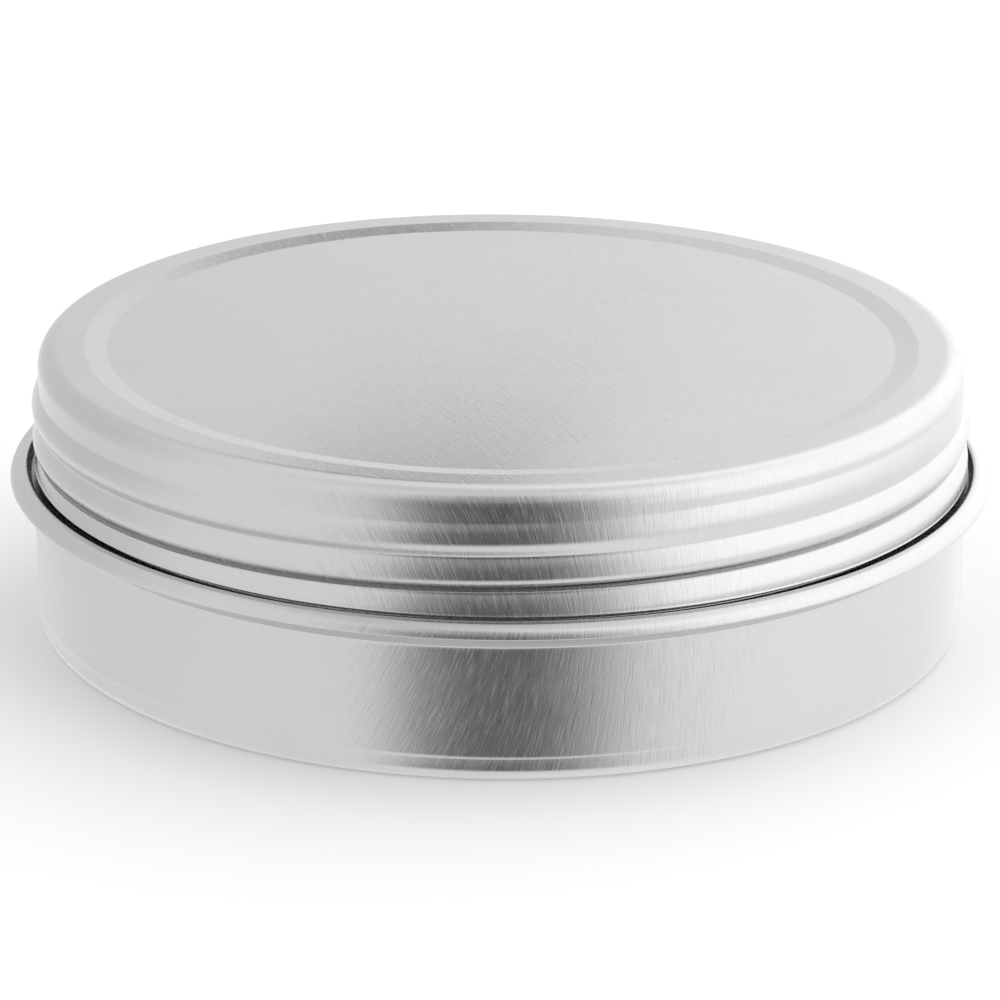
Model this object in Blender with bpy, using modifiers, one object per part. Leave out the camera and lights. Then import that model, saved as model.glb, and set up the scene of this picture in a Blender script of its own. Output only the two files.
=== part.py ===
"""Shallow round screw-top candle tin: a drawn tin, a foam liner and a screw lid.

The tin stands on z = 0 with its axis on +Z. Outlines are (radius, height) points
in millimetres; they are turned about +Z and scaled to metres. Angles round the
tin count from the front (-Y), turning towards +X.
"""

import math

import bpy

MM = 0.001
SEGMENTS = 40

# Sheet metal
SHEET = 0.25
TURNED_MERGE = 0.000001

# Tin: wall, foot and floor
BODY_RADIUS = 41.5
FOOT_CORNER = 1.2
FOOT_RING_WIDTH = 2.1
FLOOR_RISE = 0.6
FLOOR_RISE_RUN = 0.9

# Tin: shoulder bead, folded out of the wall where the neck begins
FOLD_HEIGHT = 12.0
BEAD_RADIUS = 43.65
BEAD_EDGE_HEIGHT = 13.45
CROWN_RADIUS = 42.8
CROWN_HEIGHT = 14.44
LIP_RADIUS = 42.1
LIP_ROLL = 0.32
LIP_TOP = 14.58
TROUGH_HEIGHT = 13.6
TROUGH_CORNER = 0.4

# Tin: neck and curled mouth
NECK_RADIUS = 40.2
MOUTH_HEIGHT = 23.05
MOUTH_CURL = 0.45
CURL_TAIL = 0.35

# Thread: single start, right-hand
LEAD = 3.05
CREST_HEIGHT = 18.15
NECK_THREAD_DEPTH = 0.6
NECK_THREAD_FOOT = (14.8, 15.8)
NECK_THREAD_TOP = (20.2, 21.2)
THREAD_ROWS = 14

# The lid's thread: bands with a crease under each, run a little out of true by the roll
CREASE_START = 16.4
ROLL_TILT = 0.15
CREASE_BULGE = 0.08
BAND_BULGE = 0.612
BAND_PLACE = 1.52
ROLL_FORM = ((0.0, 0.08), (0.22, 0.10), (0.45, 0.225), (0.7, 0.37), (0.95, 0.49), (1.2, 0.572),
             (1.52, 0.612), (1.85, 0.562), (2.1, 0.485), (2.4, 0.375), (2.7, 0.25),
             (2.92, 0.145), (LEAD, 0.08))
ROLL_RISE = (2.2, LEAD)
FIRST_GROOVE = (-175.0, -110.0)
LAST_BAND = (-50.0, 110.0)
SKIRT_ROLL = (14.9, 23.25)
SKIRT_ROWS = 33

# Lid
LID_HEIGHT = 25.24
LID_FOOT = 14.65
LID_FLARE = 0.05
LID_WALL_RADIUS = 41.0
LID_CORNER = 1.75
RIM_INNER_RADIUS = 36.9
PANEL_RADIUS = 34.9
PANEL_SINK = 0.32

# Liner, clear of the mouth below it and the lid's panel above it
CLEARANCE = 0.3
LINER_RADIUS = 40.0


def clear_scene():
    """Remove whatever the file holds."""
    for item in list(bpy.data.objects):
        bpy.data.objects.remove(item, do_unlink=True)


def arc(centre, radius, start, end, steps):
    """Points on an arc, both ends included, angles in degrees from +radius."""
    points = []
    for step in range(steps + 1):
        angle = math.radians(start + (end - start) * step / steps)
        points.append((centre[0] + radius * math.cos(angle),
                       centre[1] + radius * math.sin(angle)))
    return points


def column(radius, top, bottom, rows):
    """Points straight down a wall, both ends included."""
    return [(radius, top + (bottom - top) * row / rows) for row in range(rows + 1)]


def ease(value, start, end):
    """0 below start, 1 above end and a smooth slope between them."""
    share = min(max((value - start) / (end - start), 0.0), 1.0)
    return share * share * (3.0 - 2.0 * share)


def crest(height, turns):
    """1 on the thread's crest and 0 in its groove."""
    return 0.5 + 0.5 * math.cos(math.tau * ((height - CREST_HEIGHT) / LEAD - turns))


def neck_bulge(height, turns):
    """How far the neck's thread stands out, fading in and out at its ends."""
    window = ease(height, *NECK_THREAD_FOOT) * (1.0 - ease(height, *NECK_THREAD_TOP))
    return NECK_THREAD_DEPTH * window * crest(height, turns)


def follow(points, place):
    """Value at a place on the straight pieces between the points."""
    for (start, low), (end, high) in zip(points, points[1:]):
        if place <= end:
            return low + (high - low) * (place - start) / (end - start)
    return points[-1][1]


def lid_bulge(height, turns):
    """How far the skirt stands out of the lid's wall: bands with a crease above each."""
    around = 360.0 * turns
    level = (height - CREASE_START - ROLL_TILT * math.sin(math.tau * turns)) / LEAD - turns
    turn_number = math.floor(level)
    place = (level - turn_number) * LEAD
    band = follow(ROLL_FORM, place)
    crease = CREASE_BULGE * ease(place, *ROLL_RISE)
    last_band = 1.0 - ease(around, *LAST_BAND)
    if turn_number >= 2:
        return 0.0
    if turn_number == 1:
        return last_band * (band - crease)
    if turn_number == 0 and place < BAND_PLACE:
        return BAND_BULGE - (BAND_BULGE - band) * ease(around, *FIRST_GROOVE)
    if turn_number == 0:
        return band - (1.0 - last_band) * crease
    if turn_number == -1 and place > BAND_PLACE:
        return band
    return BAND_BULGE


def bead_outline():
    """The trough round the neck, the lip, the bead's crown and its flat underside."""
    lip_centre = (LIP_RADIUS + LIP_ROLL, LIP_TOP - LIP_ROLL)
    trough_level = TROUGH_HEIGHT + TROUGH_CORNER
    edge, low = BEAD_RADIUS, BEAD_EDGE_HEIGHT
    points = arc((NECK_RADIUS + TROUGH_CORNER, trough_level), TROUGH_CORNER, 180, 270, 3)
    points += arc((LIP_RADIUS - TROUGH_CORNER, trough_level), TROUGH_CORNER, -90, 0, 3)
    points += arc(lip_centre, LIP_ROLL, 180, 85, 3)
    points.append((CROWN_RADIUS, CROWN_HEIGHT))
    points += [(edge - 0.59, low + 0.835), (edge - 0.27, low + 0.58), (edge - 0.05, low + 0.2),
               (edge, low - 0.02), (edge - 0.25, low - 0.225)]
    points.append((BODY_RADIUS + 0.2, FOLD_HEIGHT + 0.105))
    points.append((BODY_RADIUS, FOLD_HEIGHT - 0.14))
    return points


def tin_outline():
    """The tin's outer side from the curl's tail over the mouth to the floor's middle."""
    curl_level = MOUTH_HEIGHT - MOUTH_CURL
    curl_centre = (NECK_RADIUS - MOUTH_CURL, curl_level)
    points = [(NECK_RADIUS - 2.0 * MOUTH_CURL, curl_level - CURL_TAIL)]
    points += arc(curl_centre, MOUTH_CURL, 180, 0, 5)
    points += column(NECK_RADIUS, NECK_THREAD_TOP[1], NECK_THREAD_FOOT[0], THREAD_ROWS)
    points += bead_outline()
    points += arc((BODY_RADIUS - FOOT_CORNER, FOOT_CORNER), FOOT_CORNER, 0, -90, 4)
    ring_inside = BODY_RADIUS - FOOT_CORNER - FOOT_RING_WIDTH
    points.append((ring_inside, 0.0))
    points.append((ring_inside - FLOOR_RISE_RUN, FLOOR_RISE))
    points.append((0.0, FLOOR_RISE))
    return points


def lid_outline():
    """The lid's outer side from the panel's middle over the rim to the skirt's edge."""
    panel_height = LID_HEIGHT - PANEL_SINK
    points = [(0.0, panel_height), (PANEL_RADIUS, panel_height)]
    points.append((RIM_INNER_RADIUS, LID_HEIGHT))
    corner_centre = (LID_WALL_RADIUS - LID_CORNER, LID_HEIGHT - LID_CORNER)
    points += arc(corner_centre, LID_CORNER, 90, 0, 5)
    points += column(LID_WALL_RADIUS, SKIRT_ROLL[1], SKIRT_ROLL[0], SKIRT_ROWS)
    points.append((LID_WALL_RADIUS + LID_FLARE, LID_FOOT))
    return points


def liner_outline():
    """The liner's closed outline, a plain disc."""
    top = LID_HEIGHT - PANEL_SINK - SHEET - CLEARANCE
    bottom = MOUTH_HEIGHT + CLEARANCE
    return [(0.0, top), (LINER_RADIUS, top), (LINER_RADIUS, bottom), (0.0, bottom)]


def turn(name, outline, collection):
    """Turn an outline about +Z."""
    mesh = bpy.data.meshes.new(name)
    points = [(radius * MM, 0.0, height * MM) for radius, height in outline]
    mesh.from_pydata(points, [(i, i + 1) for i in range(len(points) - 1)], [])
    piece = bpy.data.objects.new(name, mesh)
    collection.objects.link(piece)
    screw = piece.modifiers.new("turn", "SCREW")
    screw.steps = SEGMENTS
    screw.render_steps = SEGMENTS
    screw.use_merge_vertices = True
    screw.merge_threshold = TURNED_MERGE
    return piece


def roll_thread(piece, bulge, above):
    """Push the turned sheet out by the thread's bulge, over the heights it covers."""
    seen = piece.evaluated_get(bpy.context.evaluated_depsgraph_get())
    mesh = bpy.data.meshes.new_from_object(seen)
    piece.modifiers.clear()
    piece.data = mesh
    for vertex in mesh.vertices:
        radius = math.hypot(vertex.co.x, vertex.co.y)
        height = vertex.co.z / MM
        if height < above or radius < TURNED_MERGE:
            continue
        turns = (math.atan2(vertex.co.y, vertex.co.x) + math.pi / 2.0) / math.tau
        growth = 1.0 + bulge(height, turns) * MM / radius
        vertex.co.x *= growth
        vertex.co.y *= growth


def thicken(piece):
    """Give an open sheet its metal thickness on the inner side."""
    solid = piece.modifiers.new("sheet", "SOLIDIFY")
    solid.thickness = SHEET * MM
    solid.offset = -1.0
    solid.use_even_offset = True
    solid.use_quality_normals = True


def finish(piece, name, colour, metallic, roughness):
    """One Principled material, and smooth shading broken at the folds."""
    material = bpy.data.materials.new(name)
    material.use_nodes = True
    shader = material.node_tree.nodes["Principled BSDF"]
    shader.inputs["Base Color"].default_value = (*colour, 1.0)
    shader.inputs["Metallic"].default_value = metallic
    shader.inputs["Roughness"].default_value = roughness
    material.diffuse_color = (*colour, 1.0)
    piece.data.materials.append(material)
    piece.data.shade_smooth()
    piece.data.set_sharp_from_angle(angle=math.radians(40))


def make_tin_body(collection):
    """Cup, shoulder bead, threaded neck and curled mouth, drawn from one sheet."""
    piece = turn("tin_body", tin_outline(), collection)
    roll_thread(piece, neck_bulge, LIP_TOP)
    thicken(piece)
    finish(piece, "tin_sheet", (0.62, 0.62, 0.62), 1.0, 0.3)


def make_lid(collection):
    """Sunk panel, raised rim and threaded skirt, pressed from one sheet."""
    piece = turn("lid", lid_outline(), collection)
    roll_thread(piece, lid_bulge, LID_FOOT - CLEARANCE)
    thicken(piece)
    finish(piece, "lid_sheet", (0.64, 0.64, 0.64), 1.0, 0.3)


def make_lid_liner(collection):
    """Foam disc inside the lid, which the mouth presses on."""
    piece = turn("lid_liner", liner_outline(), collection)
    finish(piece, "liner_foam", (0.86, 0.86, 0.85), 0.0, 0.75)


def main():
    """Build the candle tin."""
    clear_scene()
    collection = bpy.data.collections.new("candle_tin")
    bpy.context.scene.collection.children.link(collection)
    make_tin_body(collection)
    make_lid(collection)
    make_lid_liner(collection)


main()
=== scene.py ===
"""Shallow screw-top candle tin: fine spun metal, and a plain studio round it.

Outlines are (radius, height) points in millimetres, turned about +Z and scaled to
metres. Angles round the tin count from the front (-Y), turning towards +X.
"""

import math

import bmesh
import bpy
from mathutils import Matrix, Vector


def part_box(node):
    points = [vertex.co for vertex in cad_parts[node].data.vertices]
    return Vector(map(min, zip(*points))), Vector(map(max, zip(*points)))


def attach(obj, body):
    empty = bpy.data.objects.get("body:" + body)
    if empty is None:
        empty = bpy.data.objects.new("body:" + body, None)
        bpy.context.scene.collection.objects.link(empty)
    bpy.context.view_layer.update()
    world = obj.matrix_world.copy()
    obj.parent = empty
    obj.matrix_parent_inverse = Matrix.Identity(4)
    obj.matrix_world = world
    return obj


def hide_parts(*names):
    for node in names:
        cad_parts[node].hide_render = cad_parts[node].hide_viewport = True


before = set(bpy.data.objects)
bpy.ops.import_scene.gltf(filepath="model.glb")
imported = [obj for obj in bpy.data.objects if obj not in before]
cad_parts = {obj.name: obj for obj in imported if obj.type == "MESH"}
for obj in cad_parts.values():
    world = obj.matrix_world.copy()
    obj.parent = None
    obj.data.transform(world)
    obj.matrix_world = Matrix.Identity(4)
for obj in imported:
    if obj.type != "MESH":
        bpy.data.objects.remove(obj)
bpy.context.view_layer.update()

MM = 0.001
SEGMENTS = 220
MERGE = 0.0000005

tin_high = Vector(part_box("tin_body")[1]) / MM
lid_high = Vector(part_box("lid")[1]) / MM
liner_low, liner_high = (corner / MM for corner in map(Vector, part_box("lid_liner")))

# Sheet metal
SHEET = 0.25

# Tin: wall, foot and floor
BODY_RADIUS = 41.5
CREASE_HEIGHT = 2.2
CREASE_DEPTH = 0.05
FOOT_CORNER = 1.2
FOOT_RING_WIDTH = 2.1
FLOOR_RISE = 0.6
FLOOR_RISE_RUN = 0.9

# Tin: shoulder bead, folded out of the wall where the neck begins
FOLD_HEIGHT = 12.0
BEAD_RADIUS = tin_high.x
BEAD_EDGE_HEIGHT = 13.45
CROWN_RADIUS = 42.8
CROWN_HEIGHT = 14.44
LIP_RADIUS = 42.1
LIP_ROLL = 0.28
LIP_TOP = 14.58
TROUGH_HEIGHT = 13.6
TROUGH_CORNER = 0.4

# Tin: neck and curled mouth
NECK_RADIUS = 40.2
MOUTH_HEIGHT = tin_high.z
MOUTH_CURL = 0.45
CURL_TAIL = 0.35

# Thread: single start, right-hand
LEAD = 3.05
CREST_HEIGHT = 18.15
NECK_THREAD_DEPTH = 0.6
NECK_THREAD_FOOT = (14.8, 15.8)
NECK_THREAD_TOP = (20.2, 21.2)
NECK_ROWS = 70

# The lid's thread: the roll leaves a crisp crease under each turn and runs a little out of true
CREASE_START = 16.4
ROLL_TILT = 0.15
BAND_BULGE = 0.612
CREASE_BULGE = 0.08
BAND_PLACE = 1.52
ROLL_FORM = ((0.0, 0.08), (0.1, 0.07), (0.22, 0.10), (0.45, 0.225), (0.7, 0.37), (0.95, 0.49),
             (1.2, 0.572), (1.4, 0.608), (1.52, 0.612), (1.66, 0.6), (1.85, 0.562),
             (2.1, 0.485), (2.4, 0.375), (2.7, 0.25), (2.92, 0.145), (LEAD, 0.08))
ROLL_RISE = (2.2, LEAD)
FIRST_GROOVE = (-175.0, -110.0)
LAST_BAND = (-50.0, 110.0)

# Lid
LID_HEIGHT = lid_high.z
LID_FOOT = 14.65
LID_FLARE = 0.05
LID_WALL_RADIUS = 41.0
LID_CORNER = 1.75
RIM_INNER_RADIUS = 36.9
PANEL_RADIUS = 34.9
PANEL_SINK = 0.32
STEP_FILLET = 0.9
SKIRT_ROLL = (14.9, 23.25)
SKIRT_ROWS = 140

# The sheets' rolling grain runs this way across each blank
GRAIN_ANGLE = math.radians(22)

# How far hairlines, scratches, rubbed edges and smudges dull the metal
HAIRLINE_ROUGHNESS = 0.045
SCRATCH_ROUGHNESS = 0.035
RUB_ROUGHNESS = 0.06
SMUDGE_ROUGHNESS = 0.02
# Grey mixed into the metal's colour in the trough and inside the lid's hem: painted shade for the
# dark gap under the lid
CREVICE_PAINTED_SHADE_COLOUR = (0.34, 0.34, 0.34)
TIN_COLOUR = (0.62, 0.62, 0.62)
TIN_ROUGHNESS = 0.23
LID_ROUGHNESS = 0.21
STREAK_RELIEF = 1.4
SCRATCH_RELIEF = -0.6
RELIEF_DEPTH = 0.0000052


def arc(centre, radius, start, end, steps):
    """Points on an arc, both ends included, angles in degrees from +radius."""
    points = []
    for step in range(steps + 1):
        angle = math.radians(start + (end - start) * step / steps)
        points.append((centre[0] + radius * math.cos(angle),
                       centre[1] + radius * math.sin(angle)))
    return points


def line(start, end, steps):
    """Points from start to end, both ends included."""
    return [(start[0] + (end[0] - start[0]) * step / steps,
             start[1] + (end[1] - start[1]) * step / steps) for step in range(steps + 1)]


def ease(value, start, end):
    """0 below start, 1 above end and a smooth slope between them."""
    share = min(max((value - start) / (end - start), 0.0), 1.0)
    return share * share * (3.0 - 2.0 * share)


def crest(height, turns):
    """1 on the thread's crest and 0 in its groove."""
    return 0.5 + 0.5 * math.cos(math.tau * ((height - CREST_HEIGHT) / LEAD - turns))


def neck_bulge(height, turns):
    """How far the neck's thread stands out, fading in and out at its ends."""
    window = ease(height, *NECK_THREAD_FOOT) * (1.0 - ease(height, *NECK_THREAD_TOP))
    return NECK_THREAD_DEPTH * window * crest(height, turns)


def trace(points, place):
    """Height at a place on the smooth curve through the points."""
    last = len(points) - 1
    slopes = []
    for index in range(last + 1):
        before, after = points[max(index - 1, 0)], points[min(index + 1, last)]
        slopes.append((after[1] - before[1]) / (after[0] - before[0]))
    index = 0
    while index < last - 1 and place > points[index + 1][0]:
        index += 1
    (start, low), (end, high) = points[index], points[index + 1]
    span = end - start
    share = min(max((place - start) / span, 0.0), 1.0)
    rise = ease(share, 0.0, 1.0)
    pull = share * (1.0 - share) * span
    return (low + (high - low) * rise
            + pull * ((1.0 - share) * slopes[index] - share * slopes[index + 1]))


def lid_bulge(height, turns):
    """How far the skirt stands out of the lid's wall: bands with a crisp crease above each."""
    around = 360.0 * turns
    level = (height - CREASE_START - ROLL_TILT * math.sin(math.tau * turns)) / LEAD - turns
    turn_number = math.floor(level)
    place = (level - turn_number) * LEAD
    band = trace(ROLL_FORM, place)
    crease = CREASE_BULGE * ease(place, *ROLL_RISE)
    last_band = 1.0 - ease(around, *LAST_BAND)
    if turn_number >= 2:
        return 0.0
    if turn_number == 1:
        return last_band * (band - crease)
    if turn_number == 0 and place < BAND_PLACE:
        return BAND_BULGE - (BAND_BULGE - band) * ease(around, *FIRST_GROOVE)
    if turn_number == 0:
        return band - (1.0 - last_band) * crease
    if turn_number == -1 and place > BAND_PLACE:
        return band
    return BAND_BULGE


def bead_outline():
    """The trough round the neck, the lip, the bead's crown and its flat underside."""
    lip_centre = (LIP_RADIUS + LIP_ROLL, LIP_TOP - LIP_ROLL)
    trough_level = TROUGH_HEIGHT + TROUGH_CORNER
    points = arc((NECK_RADIUS + TROUGH_CORNER, trough_level), TROUGH_CORNER, 180, 270, 6)
    points += arc((LIP_RADIUS - TROUGH_CORNER, trough_level), TROUGH_CORNER, -90, 0, 6)
    points += arc(lip_centre, LIP_ROLL, 180, 80, 8)
    points += [(CROWN_RADIUS - 0.10, CROWN_HEIGHT + 0.035),
               (CROWN_RADIUS - 0.03, CROWN_HEIGHT + 0.02), (CROWN_RADIUS, CROWN_HEIGHT)]
    edge, low = BEAD_RADIUS, BEAD_EDGE_HEIGHT
    points += [(edge - 0.74, low + 0.93), (edge - 0.59, low + 0.835), (edge - 0.44, low + 0.73),
               (edge - 0.30, low + 0.61), (edge - 0.19, low + 0.48), (edge - 0.11, low + 0.345),
               (edge - 0.05, low + 0.20), (edge - 0.012, low + 0.07), (edge, low)]
    points += [(edge - 0.012, low - 0.05), (edge - 0.05, low - 0.09), (edge - 0.12, low - 0.14),
               (edge - 0.25, low - 0.225)]
    points += [(BODY_RADIUS + 0.4, FOLD_HEIGHT + 0.235), (BODY_RADIUS + 0.2, FOLD_HEIGHT + 0.105),
               (BODY_RADIUS + 0.08, FOLD_HEIGHT + 0.02), (BODY_RADIUS + 0.02, FOLD_HEIGHT - 0.05),
               (BODY_RADIUS, FOLD_HEIGHT - 0.14), (BODY_RADIUS, FOLD_HEIGHT - 0.4)]
    return points


def foot_outline():
    """The crease low on the wall, the foot's corner, its ring and the raised floor."""
    foot_radius = BODY_RADIUS - CREASE_DEPTH
    ring_inside = foot_radius - FOOT_CORNER - FOOT_RING_WIDTH
    floor_edge = ring_inside - FLOOR_RISE_RUN
    points = [(BODY_RADIUS, CREASE_HEIGHT + 0.6), (BODY_RADIUS, CREASE_HEIGHT + 0.25),
              (BODY_RADIUS, CREASE_HEIGHT + 0.08)]
    points.append((BODY_RADIUS - 0.6 * CREASE_DEPTH, CREASE_HEIGHT - 0.04))
    points.append((foot_radius, CREASE_HEIGHT - 0.16))
    points += arc((foot_radius - FOOT_CORNER, FOOT_CORNER), FOOT_CORNER, 0, -90, 14)
    points += [(foot_radius - FOOT_CORNER - 0.15, 0.0), (ring_inside + 0.15, 0.0),
               (ring_inside, 0.0), (ring_inside - 0.12, 0.03), (ring_inside - 0.25, 0.10),
               (floor_edge + 0.25, FLOOR_RISE - 0.10), (floor_edge + 0.12, FLOOR_RISE - 0.03),
               (floor_edge, FLOOR_RISE)]
    points += line((floor_edge - 0.2, FLOOR_RISE), (0.0, FLOOR_RISE), 6)
    return points


def tin_outline():
    """The tin's outer side from the curl's tail over the mouth to the floor's middle."""
    curl_level = MOUTH_HEIGHT - MOUTH_CURL
    curl_centre = (NECK_RADIUS - MOUTH_CURL, curl_level)
    points = [(NECK_RADIUS - 2.0 * MOUTH_CURL, curl_level - CURL_TAIL)]
    points += arc(curl_centre, MOUTH_CURL, 180, 0, 14)
    points.append((NECK_RADIUS, curl_level - 0.2))
    points += line((NECK_RADIUS, NECK_THREAD_TOP[1]), (NECK_RADIUS, NECK_THREAD_FOOT[0]), NECK_ROWS)
    points.append((NECK_RADIUS, TROUGH_HEIGHT + TROUGH_CORNER + 0.2))
    points += bead_outline()
    points += foot_outline()
    return points


def lid_outline():
    """The lid's outer side from the panel's middle over the rim to the skirt's edge."""
    panel_height = LID_HEIGHT - PANEL_SINK
    slope = math.degrees(math.atan2(PANEL_SINK, RIM_INNER_RADIUS - PANEL_RADIUS))
    reach = STEP_FILLET * math.tan(math.radians(slope) / 2.0)
    corner_centre = (LID_WALL_RADIUS - LID_CORNER, LID_HEIGHT - LID_CORNER)
    points = line((0.0, panel_height), (PANEL_RADIUS - reach - 0.3, panel_height), 6)
    points += arc((PANEL_RADIUS - reach, panel_height + STEP_FILLET), STEP_FILLET,
                  -90, slope - 90.0, 5)
    points += line((PANEL_RADIUS + 0.3, panel_height + 0.3 * math.tan(math.radians(slope))),
                   (RIM_INNER_RADIUS - 0.3, LID_HEIGHT - 0.3 * math.tan(math.radians(slope))), 3)
    points += arc((RIM_INNER_RADIUS + reach, LID_HEIGHT - STEP_FILLET), STEP_FILLET,
                  90.0 + slope, 90.0, 5)
    points += [(RIM_INNER_RADIUS + reach + 0.3, LID_HEIGHT), (corner_centre[0] - 0.3, LID_HEIGHT)]
    points += arc(corner_centre, LID_CORNER, 90, 0, 20)
    points.append((LID_WALL_RADIUS, corner_centre[1] - 0.1))
    points += line((LID_WALL_RADIUS, SKIRT_ROLL[1]), (LID_WALL_RADIUS, SKIRT_ROLL[0]), SKIRT_ROWS)
    points += [(LID_WALL_RADIUS, LID_FOOT + 0.13),
               (LID_WALL_RADIUS + 0.3 * LID_FLARE, LID_FOOT + 0.08),
               (LID_WALL_RADIUS + LID_FLARE, LID_FOOT + 0.03),
               (LID_WALL_RADIUS + LID_FLARE, LID_FOOT)]
    return points


def liner_outline():
    """The foam disc, with its cut edge a little rounded."""
    radius, top, bottom = liner_high.x, liner_high.z, liner_low.z
    round_off = 0.12
    points = line((0.0, top), (radius - round_off, top), 6)
    points += arc((radius - round_off, top - round_off), round_off, 90, 0, 4)
    points += arc((radius - round_off, bottom + round_off), round_off, 0, -90, 4)
    points += line((radius - round_off, bottom), (0.0, bottom), 6)
    return points


def blank_radii(outline, centre_last):
    """Where each point lay on the flat disc that the sheet was drawn from."""
    path = list(reversed(outline)) if centre_last else list(outline)
    area = path[0][0] ** 2 / 2.0
    radii = [path[0][0]]
    for (near, low), (far, high) in zip(path, path[1:]):
        area += (near + far) / 2.0 * math.hypot(far - near, high - low)
        radii.append(math.sqrt(2.0 * area))
    return list(reversed(radii)) if centre_last else radii


def spin_piece(name, outline, blank, bulge=None, above=0.0):
    """Spin an outline about +Z, roll in a thread and note each point's place on the blank."""
    shape = bmesh.new()
    place = shape.verts.layers.float.new("blank")
    corners = []
    for (radius, height), reach in zip(outline, blank):
        corner = shape.verts.new((radius * MM, 0.0, height * MM))
        corner[place] = reach
        corners.append(corner)
    edges = [shape.edges.new(pair) for pair in zip(corners, corners[1:])]
    bmesh.ops.spin(shape, geom=corners + edges, cent=(0, 0, 0), axis=(0, 0, 1),
                   dvec=(0, 0, 0), angle=math.tau, steps=SEGMENTS, use_merge=True)
    bmesh.ops.remove_doubles(shape, verts=shape.verts, dist=MERGE)
    widest = max(shape.faces, key=lambda face: face.calc_center_median().xy.length)
    if widest.normal.xy.dot(widest.calc_center_median().xy) < 0.0:
        bmesh.ops.reverse_faces(shape, faces=shape.faces)
    grain = shape.loops.layers.uv.new("grain")
    for face in shape.faces:
        for loop in face.loops:
            angle = math.atan2(loop.vert.co.y, loop.vert.co.x) + math.pi / 2.0 - GRAIN_ANGLE
            reach = loop.vert[place]
            loop[grain].uv = (reach * math.sin(angle), reach * math.cos(angle))
    if bulge:
        for vertex in shape.verts:
            radius = vertex.co.xy.length
            if vertex.co.z > above * MM and radius > MERGE:
                turns = (math.atan2(vertex.co.y, vertex.co.x) + math.pi / 2.0) / math.tau
                growth = 1.0 + bulge(vertex.co.z / MM, turns) * MM / radius
                vertex.co.xy *= growth
    mesh = bpy.data.meshes.new(name)
    shape.to_mesh(mesh)
    shape.free()
    piece = bpy.data.objects.new(name, mesh)
    bpy.context.scene.collection.objects.link(piece)
    return piece


def thicken(piece):
    """Give a sheet its thickness on the inner side."""
    solid = piece.modifiers.new("sheet", "SOLIDIFY")
    solid.thickness = SHEET * MM
    solid.offset = -1.0
    solid.use_even_offset = True
    solid.use_quality_normals = True
    seen = piece.evaluated_get(bpy.context.evaluated_depsgraph_get())
    mesh = bpy.data.meshes.new_from_object(seen)
    piece.modifiers.clear()
    piece.data = mesh


def mark(piece, name, rule):
    """Store how strongly a rule on radius, height and turns holds at each point."""
    layer = piece.data.attributes.new(name, "FLOAT", "POINT")
    for vertex in piece.data.vertices:
        turns = (math.atan2(vertex.co.y, vertex.co.x) + math.pi / 2.0) / math.tau
        turns = (turns + 0.5) % 1.0 - 0.5
        layer.data[vertex.index].value = rule(vertex.co.xy.length / MM, vertex.co.z / MM, turns)


def tin_crevice_painted_shade(radius, height, turns):
    """The trough between the neck and the lip, whose colour is darkened here as painted shade."""
    inside = NECK_RADIUS + 0.05 < radius < LIP_RADIUS + 0.12
    return 1.0 if inside and 13.0 < height < LIP_TOP - 0.12 else 0.0


def lid_crevice_painted_shade(radius, height, turns):
    """The inner side of the skirt's hem, whose colour is darkened here as painted shade, fading out
    upwards.
    """
    inside = radius < LID_WALL_RADIUS + lid_bulge(height, turns) - 0.12
    return 1.0 - ease(height, 15.0, 15.8) if inside else 0.0


def tin_edge(radius, height, turns):
    """The bead's rim, the mouth and the foot."""
    bead = ease(radius, BEAD_RADIUS - 0.5, BEAD_RADIUS)
    mouth = ease(height, MOUTH_HEIGHT - 0.5, MOUTH_HEIGHT)
    foot = 1.0 - ease(height, 0.0, FOOT_CORNER)
    return max(bead, mouth, foot if radius > BODY_RADIUS - 4.0 else 0.0)


def lid_edge(radius, height, turns):
    """The corner round the rim and the skirt's hem."""
    corner = ease(radius + height, LID_WALL_RADIUS + LID_HEIGHT - 1.6,
                  LID_WALL_RADIUS + LID_HEIGHT - 1.0)
    hem = 1.0 - ease(height, LID_FOOT, LID_FOOT + 0.4)
    return max(corner, hem)


def smooth(piece, limit=50.0):
    """Smooth shading, broken only where two faces meet at more than the limit."""
    piece.data.shade_smooth()
    piece.data.set_sharp_from_angle(angle=math.radians(limit))


def wire(tree, source, target):
    """Join an output to an input."""
    tree.links.new(source, target)


def new_node(tree, kind, **inputs):
    """Add a node and set plain numbers on its named inputs."""
    node = tree.nodes.new(kind)
    for name, value in inputs.items():
        node.inputs[name.replace("_", " ")].default_value = value
    return node


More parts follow.
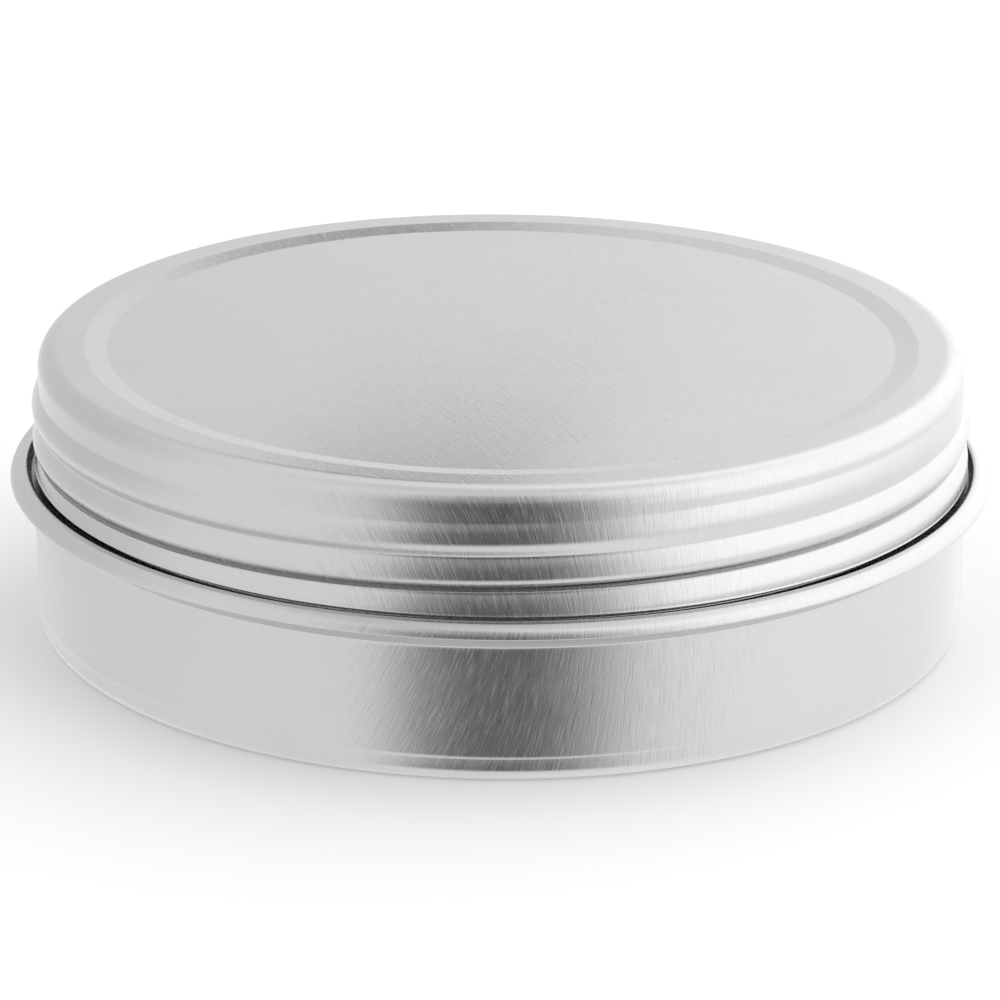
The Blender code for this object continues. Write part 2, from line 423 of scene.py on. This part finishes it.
def grain_group():
    """Rolling grain of tinplate: fine hairlines, broader streaks and sparse thin scratches."""
    group = bpy.data.node_groups.new("rolling grain", "ShaderNodeTree")
    face = group.interface
    for name, value in (("Hairlines", 10.0), ("Streaks", 3.5), ("Slenderness", 20.0)):
        socket = face.new_socket(name, in_out="INPUT", socket_type="NodeSocketFloat")
        socket.default_value = value
    for name in ("Grain", "Streak", "Scratch"):
        face.new_socket(name, in_out="OUTPUT", socket_type="NodeSocketFloat")
    given = group.nodes.new("NodeGroupInput")
    result = group.nodes.new("NodeGroupOutput")
    place = group.nodes.new("ShaderNodeUVMap")
    place.uv_map = "grain"
    split = group.nodes.new("ShaderNodeSeparateXYZ")
    wire(group, place.outputs["UV"], split.inputs["Vector"])

    def step(kind, first, second):
        """One arithmetic step on two sockets."""
        node = group.nodes.new("ShaderNodeMath")
        node.operation = kind
        wire(group, first, node.inputs[0])
        wire(group, second, node.inputs[1])
        return node.outputs[0]

    def lines(density, shift, detail):
        """Noise that is dense across the grain and long along it."""
        slow = step("DIVIDE", density, given.outputs["Slenderness"])
        join = group.nodes.new("ShaderNodeCombineXYZ")
        join.inputs["Z"].default_value = shift
        wire(group, step("MULTIPLY", split.outputs["X"], density), join.inputs["X"])
        wire(group, step("MULTIPLY", split.outputs["Y"], slow), join.inputs["Y"])
        noise = new_node(group, "ShaderNodeTexNoise", Scale=1.0, Detail=detail, Roughness=0.58)
        wire(group, join.outputs["Vector"], noise.inputs["Vector"])
        return noise.outputs["Fac"]

    sparse = new_node(group, "ShaderNodeMapRange", From_Min=0.60, From_Max=0.74)
    wire(group, lines(given.outputs["Hairlines"], 15.3, 0.0), sparse.inputs["Value"])
    wire(group, sparse.outputs["Result"], result.inputs["Scratch"])
    wire(group, lines(given.outputs["Hairlines"], 3.1, 2.0), result.inputs["Grain"])
    wire(group, lines(given.outputs["Streaks"], 8.7, 3.0), result.inputs["Streak"])
    return group


def handling_group():
    """Wear of a handled tin: faint smudges all over and dulled metal on the raised edges."""
    group = bpy.data.node_groups.new("handling", "ShaderNodeTree")
    for name in ("Smudge", "Rub"):
        group.interface.new_socket(name, in_out="OUTPUT", socket_type="NodeSocketFloat")
    result = group.nodes.new("NodeGroupOutput")
    spot = group.nodes.new("ShaderNodeTexCoord")
    smudge = new_node(group, "ShaderNodeTexNoise", Scale=70.0, Detail=3.0, Roughness=0.6)
    wire(group, spot.outputs["Object"], smudge.inputs["Vector"])
    nicks = new_node(group, "ShaderNodeTexNoise", Scale=900.0, Detail=2.0, Roughness=0.6)
    wire(group, spot.outputs["Object"], nicks.inputs["Vector"])
    edge = group.nodes.new("ShaderNodeAttribute")
    edge.attribute_name = "raised_edge"
    rub = group.nodes.new("ShaderNodeMath")
    rub.operation = "MULTIPLY"
    wire(group, edge.outputs["Fac"], rub.inputs[0])
    wire(group, nicks.outputs["Fac"], rub.inputs[1])
    wire(group, smudge.outputs["Fac"], result.inputs["Smudge"])
    wire(group, rub.outputs[0], result.inputs["Rub"])
    return group


def tinplate(name, grain, handling, colour, roughness):
    """Bright tinplate: a mirror drawn out across its grain, with hairlines, light wear and painted
    shade in its crevices.
    """
    material = bpy.data.materials.new(name)
    material.use_nodes = True
    tree = material.node_tree
    shader = tree.nodes["Principled BSDF"]
    shader.inputs["Metallic"].default_value = 1.0
    shader.inputs["Anisotropic"].default_value = 0.85
    across = tree.nodes.new("ShaderNodeTangent")
    across.direction_type = "UV_MAP"
    across.uv_map = "grain"
    wire(tree, across.outputs["Tangent"], shader.inputs["Tangent"])
    lines = tree.nodes.new("ShaderNodeGroup")
    lines.node_tree = grain
    wear = tree.nodes.new("ShaderNodeGroup")
    wear.node_tree = handling

    def add(amount, source, base):
        """The base plus an amount of the source."""
        node = tree.nodes.new("ShaderNodeMath")
        node.operation = "MULTIPLY_ADD"
        node.inputs[1].default_value = amount
        wire(tree, source, node.inputs[0])
        wire(tree, base, node.inputs[2])
        return node.outputs[0]

    def tint(factor, first, second):
        """A colour between two, where first may be a socket."""
        node = tree.nodes.new("ShaderNodeMix")
        node.data_type = "RGBA"
        wire(tree, factor, node.inputs[0])
        if isinstance(first, tuple):
            node.inputs[6].default_value = (*first, 1.0)
        else:
            wire(tree, first, node.inputs[6])
        node.inputs[7].default_value = (*second, 1.0)
        return node.outputs[2]

    rough = new_node(tree, "ShaderNodeMapRange", From_Min=0.3, From_Max=0.7,
                     To_Min=roughness - HAIRLINE_ROUGHNESS, To_Max=roughness + HAIRLINE_ROUGHNESS)
    wire(tree, lines.outputs["Grain"], rough.inputs["Value"])
    dull = add(SCRATCH_ROUGHNESS, lines.outputs["Scratch"], rough.outputs["Result"])
    dull = add(RUB_ROUGHNESS, wear.outputs["Rub"], dull)
    dull = add(SMUDGE_ROUGHNESS, wear.outputs["Smudge"], dull)
    wire(tree, dull, shader.inputs["Roughness"])

    # Painted shade: the colour turns towards grey where the crevice mask is set, in the neck's
    # trough and inside the hem
    crevice_painted_shade = tree.nodes.new("ShaderNodeAttribute")
    crevice_painted_shade.attribute_name = "crevice_painted_shade"
    dusty = tuple(share * 0.96 for share in colour)
    bright = tuple(share * 1.04 for share in colour)
    sheet = tint(wear.outputs["Smudge"], bright, dusty)
    wire(tree, tint(crevice_painted_shade.outputs["Fac"], sheet, CREVICE_PAINTED_SHADE_COLOUR), shader.inputs["Base Color"])

    height = add(STREAK_RELIEF, lines.outputs["Streak"], lines.outputs["Grain"])
    height = add(SCRATCH_RELIEF, lines.outputs["Scratch"], height)
    bump = new_node(tree, "ShaderNodeBump", Strength=1.0, Distance=RELIEF_DEPTH)
    wire(tree, height, bump.inputs["Height"])
    wire(tree, bump.outputs["Normal"], shader.inputs["Normal"])
    return material


def liner_foam():
    """White closed-cell foam sheet with a faint dimple."""
    material = bpy.data.materials.new("liner_foam")
    material.use_nodes = True
    tree = material.node_tree
    shader = tree.nodes["Principled BSDF"]
    shader.inputs["Roughness"].default_value = 0.7
    spot = tree.nodes.new("ShaderNodeTexCoord")
    cells = new_node(tree, "ShaderNodeTexVoronoi", Scale=1400.0)
    wire(tree, spot.outputs["Object"], cells.inputs["Vector"])
    shade = tree.nodes.new("ShaderNodeMix")
    shade.data_type = "RGBA"
    shade.inputs[6].default_value = (0.80, 0.80, 0.79, 1.0)
    shade.inputs[7].default_value = (0.90, 0.90, 0.89, 1.0)
    wire(tree, cells.outputs["Distance"], shade.inputs[0])
    wire(tree, shade.outputs[2], shader.inputs["Base Color"])
    bump = new_node(tree, "ShaderNodeBump", Strength=0.6, Distance=0.00008)
    wire(tree, cells.outputs["Distance"], bump.inputs["Height"])
    wire(tree, bump.outputs["Normal"], shader.inputs["Normal"])
    return material


def make_tin_body(material):
    """Cup, bead, neck and mouth, drawn from one sheet."""
    outline = tin_outline()
    piece = spin_piece("tin_shell", outline, blank_radii(outline, True), neck_bulge, LIP_TOP)
    thicken(piece)
    # Mask of painted shade in the trough between the neck and the lip
    mark(piece, "crevice_painted_shade", tin_crevice_painted_shade)
    mark(piece, "raised_edge", tin_edge)
    smooth(piece)
    piece.data.materials.append(material)
    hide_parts("tin_body")
    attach(piece, "tin")


def make_lid(material):
    """Sunk panel, raised rim and threaded skirt, pressed from one sheet."""
    outline = lid_outline()
    piece = spin_piece("lid_shell", outline, blank_radii(outline, False), lid_bulge,
                       LID_FOOT - SHEET)
    thicken(piece)
    # Mask of painted shade on the inner side of the hem
    mark(piece, "crevice_painted_shade", lid_crevice_painted_shade)
    mark(piece, "raised_edge", lid_edge)
    smooth(piece)
    piece.data.materials.append(material)
    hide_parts("lid")
    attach(piece, "lid")


def make_liner(material):
    """The foam disc."""
    outline = liner_outline()
    piece = spin_piece("liner_disc", outline, [radius for radius, height in outline])
    smooth(piece)
    piece.data.materials.append(material)
    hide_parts("lid_liner")
    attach(piece, "liner")


def soft_card_group():
    """How much of a soft-edged studio card lies in a direction given in degrees."""
    group = bpy.data.node_groups.new("soft card", "ShaderNodeTree")
    face = group.interface
    for name in ("Turn", "Rise", "Azimuth", "Elevation", "Width", "Height", "Edge", "Edge Height"):
        face.new_socket(name, in_out="INPUT", socket_type="NodeSocketFloat")
    face.new_socket("Mask", in_out="OUTPUT", socket_type="NodeSocketFloat")
    given = group.nodes.new("NodeGroupInput")
    result = group.nodes.new("NodeGroupOutput")

    def sum_of(kind, first, second):
        """One arithmetic step on two sockets or numbers."""
        step = group.nodes.new("ShaderNodeMath")
        step.operation = kind
        for slot, source in enumerate((first, second)):
            if isinstance(source, (int, float)):
                step.inputs[slot].default_value = source
            else:
                wire(group, source, step.inputs[slot])
        return step.outputs[0]

    masks = []
    for seen, centre, size, edge in (("Turn", "Azimuth", "Width", "Edge"),
                                     ("Rise", "Elevation", "Height", "Edge Height")):
        offset = sum_of("SUBTRACT", given.outputs[seen], given.outputs[centre])
        wrapped = group.nodes.new("ShaderNodeMath")
        wrapped.operation = "WRAP"
        wrapped.inputs[1].default_value = 180.0
        wrapped.inputs[2].default_value = -180.0
        wire(group, offset, wrapped.inputs[0])
        away = sum_of("ABSOLUTE", wrapped.outputs[0], 0.0)
        half = sum_of("MULTIPLY", given.outputs[size], 0.5)
        soft = sum_of("MULTIPLY", given.outputs[edge], 0.5)
        fade = group.nodes.new("ShaderNodeMapRange")
        fade.interpolation_type = "SMOOTHSTEP"
        fade.inputs["To Min"].default_value = 1.0
        fade.inputs["To Max"].default_value = 0.0
        wire(group, away, fade.inputs["Value"])
        wire(group, sum_of("SUBTRACT", half, soft), fade.inputs["From Min"])
        wire(group, sum_of("ADD", half, soft), fade.inputs["From Max"])
        masks.append(fade.outputs["Result"])
    wire(group, sum_of("MULTIPLY", *masks), result.inputs["Mask"])
    return group


# Cards round the tin: azimuth, elevation, width, height, edge across, edge up, brightness
CARDS = (
    ("overhead", 0, 90, 720, 40, 20, 20, 0.78),
    ("right_table", 97, -50, 130, 80, 45, 40, 1.18),
    ("right_softbox", 103, 28, 138, 80, 42, 34, 1.56),
    ("left_back_wall", -137, 14, 86, 60, 46, 30, 0.79),
    ("front_gap_low", 0.5, -2, 47, 72, 16, 20, 0.10),
    ("front_gap_high", 0, 46, 38, 40, 18, 20, 0.24),
)

# The dark stand behind the tin to the left, which only its reflection shows
STAND_PLACE = 0.133
STAND_SPAN = (-0.032, -0.002)
STAND_RISE = (0.088, 0.110)
STAND_GLOW = 0.04

# The table
TABLE_SIZE = 4.0
TABLE_GLOW = 0.12

# The camera: its lens and sensor in millimetres, its place in metres, its turns in degrees
LENS = 163.5
SENSOR = 36.0
VIEW_ELEVATION = 19.19
VIEW_DISTANCE = 0.4071
AIM_HEIGHT = 0.01287
VIEW_DIP = 0.394
VIEW_LEAN = 0.445


def surroundings():
    """A white studio with soft-edged cards; the camera itself sees plain white."""
    world = bpy.data.worlds.new("studio")
    bpy.context.scene.world = world
    world.use_nodes = True
    tree = world.node_tree
    group = soft_card_group()
    aim = tree.nodes.new("ShaderNodeTexCoord")
    split = tree.nodes.new("ShaderNodeSeparateXYZ")
    wire(tree, aim.outputs["Generated"], split.inputs["Vector"])

    def step(kind, first, second):
        """One arithmetic step on two sockets or numbers."""
        node = tree.nodes.new("ShaderNodeMath")
        node.operation = kind
        for slot, source in enumerate((first, second)):
            if isinstance(source, (int, float)):
                node.inputs[slot].default_value = source
            else:
                wire(tree, source, node.inputs[slot])
        return node.outputs[0]

    front = step("MULTIPLY", split.outputs["Y"], -1.0)
    turn = step("MULTIPLY", step("ARCTAN2", split.outputs["X"], front), math.degrees(1.0))
    rise = step("MULTIPLY", step("ARCSINE", split.outputs["Z"], 0.0), math.degrees(1.0))
    level = None
    for name, azimuth, elevation, width, height, edge, edge_height, brightness in CARDS:
        card = tree.nodes.new("ShaderNodeGroup")
        card.node_tree = group
        card.label = name
        for socket, value in (("Azimuth", azimuth), ("Elevation", elevation), ("Width", width),
                              ("Height", height), ("Edge", edge), ("Edge Height", edge_height)):
            card.inputs[socket].default_value = value
        wire(tree, turn, card.inputs["Turn"])
        wire(tree, rise, card.inputs["Rise"])
        mix = tree.nodes.new("ShaderNodeMix")
        mix.inputs[2].default_value = 1.0
        mix.inputs[3].default_value = brightness
        wire(tree, card.outputs["Mask"], mix.inputs[0])
        if level is not None:
            wire(tree, level, mix.inputs[2])
        level = mix.outputs[0]
    seen = tree.nodes.new("ShaderNodeLightPath")
    plain = tree.nodes.new("ShaderNodeMix")
    plain.inputs[3].default_value = 1.0
    wire(tree, seen.outputs["Is Camera Ray"], plain.inputs[0])
    wire(tree, level, plain.inputs[2])
    wire(tree, plain.outputs[0], tree.nodes["Background"].inputs["Strength"])
    tree.nodes["Background"].inputs["Color"].default_value = (1.0, 1.0, 1.0, 1.0)


def floor():
    """A wide white table, lit a little from below like a light table."""
    shape = bmesh.new()
    bmesh.ops.create_grid(shape, x_segments=1, y_segments=1, size=TABLE_SIZE)
    mesh = bpy.data.meshes.new("table")
    shape.to_mesh(mesh)
    shape.free()
    piece = bpy.data.objects.new("table", mesh)
    bpy.context.scene.collection.objects.link(piece)
    piece.visible_glossy = False
    material = bpy.data.materials.new("table")
    material.use_nodes = True
    shader = material.node_tree.nodes["Principled BSDF"]
    shader.inputs["Base Color"].default_value = (0.9, 0.9, 0.9, 1.0)
    shader.inputs["Roughness"].default_value = 0.9
    shader.inputs["Emission Color"].default_value = (1.0, 1.0, 1.0, 1.0)
    shader.inputs["Emission Strength"].default_value = TABLE_GLOW
    piece.data.materials.append(material)


def stand():
    """A dark card behind the tin, seen in its metal and nowhere else."""
    left, right = STAND_SPAN
    low, high = STAND_RISE
    mesh = bpy.data.meshes.new("stand")
    mesh.from_pydata([(left, STAND_PLACE, low), (right, STAND_PLACE, low),
                      (right, STAND_PLACE, high), (left, STAND_PLACE, high)], [], [(0, 1, 2, 3)])
    piece = bpy.data.objects.new("stand", mesh)
    bpy.context.scene.collection.objects.link(piece)
    piece.visible_camera = False
    piece.visible_diffuse = False
    piece.visible_shadow = False
    material = bpy.data.materials.new("stand")
    material.use_nodes = True
    shader = material.node_tree.nodes["Principled BSDF"]
    shader.inputs["Base Color"].default_value = (0.0, 0.0, 0.0, 1.0)
    shader.inputs["Specular IOR Level"].default_value = 0.0
    shader.inputs["Emission Color"].default_value = (1.0, 1.0, 1.0, 1.0)
    shader.inputs["Emission Strength"].default_value = STAND_GLOW
    piece.data.materials.append(material)


def studio():
    """The surroundings, the table and the dark stand."""
    surroundings()
    floor()
    stand()
    bpy.context.scene.view_settings.view_transform = "Standard"


def camera():
    """A long lens from the front, 19 degrees above the table."""
    elevation = math.radians(VIEW_ELEVATION)
    aim = Vector((0.0, 0.0, AIM_HEIGHT))
    view = bpy.data.cameras.new("camera")
    view.lens = LENS
    view.sensor_width = SENSOR
    view.clip_start = 0.01
    eye = bpy.data.objects.new("camera", view)
    bpy.context.scene.collection.objects.link(eye)
    back = Vector((0.0, -math.cos(elevation), math.sin(elevation)))
    tilt = Matrix.Rotation(math.pi / 2.0 - elevation - math.radians(VIEW_DIP), 4, "X")
    eye.matrix_world = (Matrix.Translation(aim + back * VIEW_DISTANCE) @ tilt
                        @ Matrix.Rotation(math.radians(VIEW_LEAN), 4, "Z"))
    bpy.context.scene.camera = eye


def main():
    """Build every piece, then the studio and the camera."""
    grain = grain_group()
    handling = handling_group()
    make_tin_body(tinplate("tin_sheet", grain, handling, TIN_COLOUR, TIN_ROUGHNESS))
    make_lid(tinplate("lid_sheet", grain, handling, TIN_COLOUR, LID_ROUGHNESS))
    make_liner(liner_foam())
    studio()
    camera()


main()
